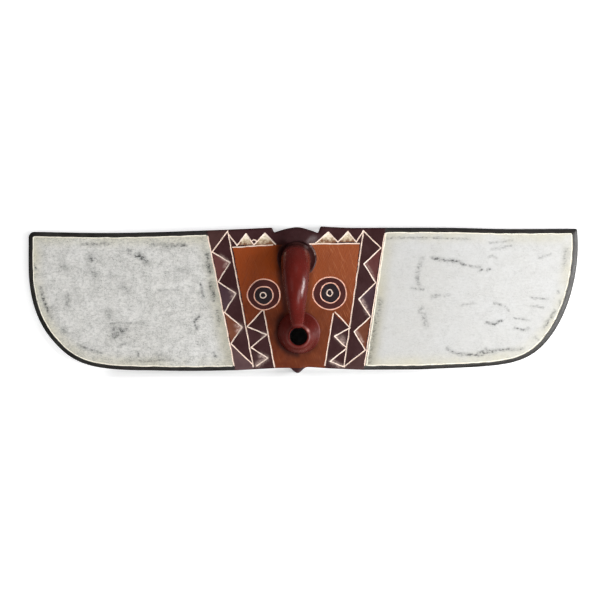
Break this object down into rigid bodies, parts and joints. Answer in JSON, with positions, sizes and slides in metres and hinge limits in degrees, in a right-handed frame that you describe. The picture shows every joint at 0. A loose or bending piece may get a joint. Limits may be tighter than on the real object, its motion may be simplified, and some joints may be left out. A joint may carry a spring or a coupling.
{
  "type": "butterfly mask",
  "caption": "Carved wooden mask with two broad painted wings, a small face with ringed eyes, a hooked beak and a round open mouth.",
  "frame": {"origin": "middle of the mask's span and height, on its flat back", "axes": "+X to the viewer's right along the wings, +Y towards the crown, +Z out of the face; the mask lies on its back"},
  "size_m": [0.71, 0.189, 0.0866],
  "materials": {
    "painted_wood": "carved light wood under rubbed white, orange-brown, aubergine and oxblood paint, with cream incised lines; satin to semi-gloss on the beak and mouth"
  },
  "bodies": {
    "root": {"mask": "painted_wood"}
  },
  "joints": []
}
